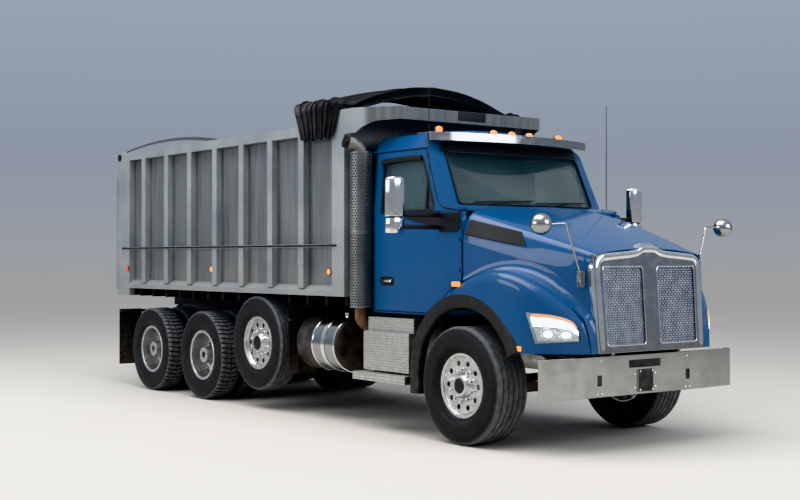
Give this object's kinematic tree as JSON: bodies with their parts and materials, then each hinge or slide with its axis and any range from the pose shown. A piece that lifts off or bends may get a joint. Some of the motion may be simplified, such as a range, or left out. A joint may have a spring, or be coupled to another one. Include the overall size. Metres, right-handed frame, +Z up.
{
  "type": "dump truck",
  "caption": "Conventional-cab dump truck with a ribbed open bed that tips, a hinged tailgate, a cab shield, a rolled tarp, steered front wheels, dual rear wheels and a raised lift axle.",
  "frame": {"origin": "on the ground, midway along and across the truck", "axes": "+X ahead, +Y to the driver's left, +Z up"},
  "size_m": [8.318, 3.38, 3.4446],
  "materials": {
    "blue_paint": "gloss",
    "bed_metal": "weathered",
    "chassis_paint": "satin",
    "engine_iron": "rough",
    "bright_steel": "polished",
    "mesh_steel": "satin",
    "stack_steel": "heat-marked, rusty at the elbow",
    "alloy": "satin",
    "tyre_rubber": "dusty",
    "flap_rubber": "matt",
    "clear_glass": "clear",
    "black_plastic": "matt",
    "seat_cloth": "woven",
    "tarp_cloth": "coated",
    "amber_lens": "clear lens",
    "lamp_lens": "clear lens"
  },
  "bodies": {
    "chassis": {"frame_rails": "chassis_paint", "frame_brackets": "chassis_paint", "front_bumper": "bright_steel", "engine_block": "engine_iron", "radiator": "engine_iron", "front_axle": "chassis_paint", "suspension": "chassis_paint", "tandem_axles": "chassis_paint", "pusher_axle": "chassis_paint", "cab_shell": "blue_paint", "cab_glass": "clear_glass", "dashboard": "black_plastic", "seats": "seat_cloth", "roof_visor": "bright_steel", "roof_lamps": "amber_lens", "fuel_tanks": "alloy", "cab_steps": "alloy", "exhaust_stack": "stack_steel", "exhaust_guard": "mesh_steel", "mud_flaps": "flap_rubber"},
    "hood": {"hood_shell": "blue_paint", "headlamps": "lamp_lens", "hood_trim": "black_plastic", "grille_surround": "bright_steel", "grille_mesh": "mesh_steel", "hood_mirrors": "bright_steel"},
    "left_door": {"door_left": "blue_paint", "door_glass_left": "clear_glass", "door_mirror_left": "bright_steel"},
    "right_door": {"door_right": "blue_paint", "door_glass_right": "clear_glass", "door_mirror_right": "bright_steel"},
    "left_knuckle": {"knuckle_left": "chassis_paint"},
    "right_knuckle": {"knuckle_right": "chassis_paint"},
    "bed": {"bed_floor": "bed_metal", "bed_side_left": "bed_metal", "bed_side_right": "bed_metal", "bed_front": "bed_metal", "bed_lamps": "amber_lens", "tarp": "tarp_cloth", "tarp_bow": "bed_metal"},
    "gate": {"tailgate": "bed_metal"},
    "hoist_cylinder": {"hoist_barrel": "chassis_paint"},
    "hoist_piston": {"hoist_rod": "mesh_steel"},
    "front_left_wheel": {"tyre_front_left": "tyre_rubber", "wheel_front_left": "alloy"},
    "front_right_wheel": {"tyre_front_right": "tyre_rubber", "wheel_front_right": "alloy"},
    "drive_front_left_wheel": {"tyre_drive_front_left": "tyre_rubber", "wheel_drive_front_left": "alloy"},
    "drive_front_right_wheel": {"tyre_drive_front_right": "tyre_rubber", "wheel_drive_front_right": "alloy"},
    "drive_rear_left_wheel": {"tyre_drive_rear_left": "tyre_rubber", "wheel_drive_rear_left": "alloy"},
    "drive_rear_right_wheel": {"tyre_drive_rear_right": "tyre_rubber", "wheel_drive_rear_right": "alloy"},
    "pusher_left_wheel": {"tyre_pusher_left": "tyre_rubber", "wheel_pusher_left": "alloy"},
    "pusher_right_wheel": {"tyre_pusher_right": "tyre_rubber", "wheel_pusher_right": "alloy"}
  },
  "joints": [
    {"name": "steer_left", "type": "hinge", "parent": "chassis", "child": "left_knuckle", "pos_m": [2.945, 0.905, 0.536], "axis": [0, 0, 1], "range_deg": [-35, 35]},
    {"name": "steer_right", "type": "hinge", "parent": "chassis", "child": "right_knuckle", "pos_m": [2.945, -0.905, 0.536], "axis": [0, 0, 1], "range_deg": [-35, 35]},
    {"name": "hood_tilt", "type": "hinge", "parent": "chassis", "child": "hood", "pos_m": [4.063, 0, 0.858], "axis": [0, 1, 0], "range_deg": [0, 60]},
    {"name": "door_left_swing", "type": "hinge", "parent": "chassis", "child": "left_door", "pos_m": [2.785, 1.05, 1.95], "axis": [0, 0, -1], "range_deg": [0, 60]},
    {"name": "door_right_swing", "type": "hinge", "parent": "chassis", "child": "right_door", "pos_m": [2.785, -1.05, 1.95], "axis": [0, 0, 1], "range_deg": [0, 60]},
    {"name": "bed_tip", "type": "hinge", "parent": "chassis", "child": "bed", "pos_m": [-3.935, 0, 1], "axis": [0, -1, 0], "range_deg": [0, 45]},
    {"name": "tailgate_swing", "type": "hinge", "parent": "bed", "child": "gate", "pos_m": [-4.13, 0, 3.01], "axis": [0, 1, 0], "range_deg": [0, 60]},
    {"name": "hoist_swing", "type": "hinge", "parent": "chassis", "child": "hoist_cylinder", "pos_m": [-2.8, 0, 1.06], "axis": [0, -1, 0], "range_deg": [0, 64]},
    {"name": "hoist_extend", "type": "slide", "parent": "hoist_cylinder", "child": "hoist_piston", "axis": [0.9986, 0, 0.0521], "range_m": [0, 0.39]},
    {"name": "front_left_spin", "type": "hinge", "parent": "left_knuckle", "child": "front_left_wheel", "pos_m": [2.945, 1.04, 0.536], "axis": [0, 1, 0], "continuous": true},
    {"name": "front_right_spin", "type": "hinge", "parent": "right_knuckle", "child": "front_right_wheel", "pos_m": [2.945, -1.04, 0.536], "axis": [0, 1, 0], "continuous": true},
    {"name": "drive_front_left_spin", "type": "hinge", "parent": "chassis", "child": "drive_front_left_wheel", "pos_m": [-1.841, 0.9, 0.525], "axis": [0, 1, 0], "continuous": true},
    {"name": "drive_front_right_spin", "type": "hinge", "parent": "chassis", "child": "drive_front_right_wheel", "pos_m": [-1.841, -0.9, 0.525], "axis": [0, 1, 0], "continuous": true},
    {"name": "drive_rear_left_spin", "type": "hinge", "parent": "chassis", "child": "drive_rear_left_wheel", "pos_m": [-3.16, 0.9, 0.525], "axis": [0, 1, 0], "continuous": true},
    {"name": "drive_rear_right_spin", "type": "hinge", "parent": "chassis", "child": "drive_rear_right_wheel", "pos_m": [-3.16, -0.9, 0.525], "axis": [0, 1, 0], "continuous": true},
    {"name": "pusher_left_spin", "type": "hinge", "parent": "chassis", "child": "pusher_left_wheel", "pos_m": [-0.57, 1.078, 0.736], "axis": [0, 1, 0], "continuous": true},
    {"name": "pusher_right_spin", "type": "hinge", "parent": "chassis", "child": "pusher_right_wheel", "pos_m": [-0.57, -1.078, 0.736], "axis": [0, 1, 0], "continuous": true}
  ],
  "couplings": [
    {"joint": "steer_right", "follows": "steer_left", "ratio": 1},
    {"joint": "hoist_swing", "follows": "bed_tip", "ratio": 1.4},
    {"joint": "hoist_extend", "follows": "bed_tip", "m_per_rad": 0.484}
  ]
}
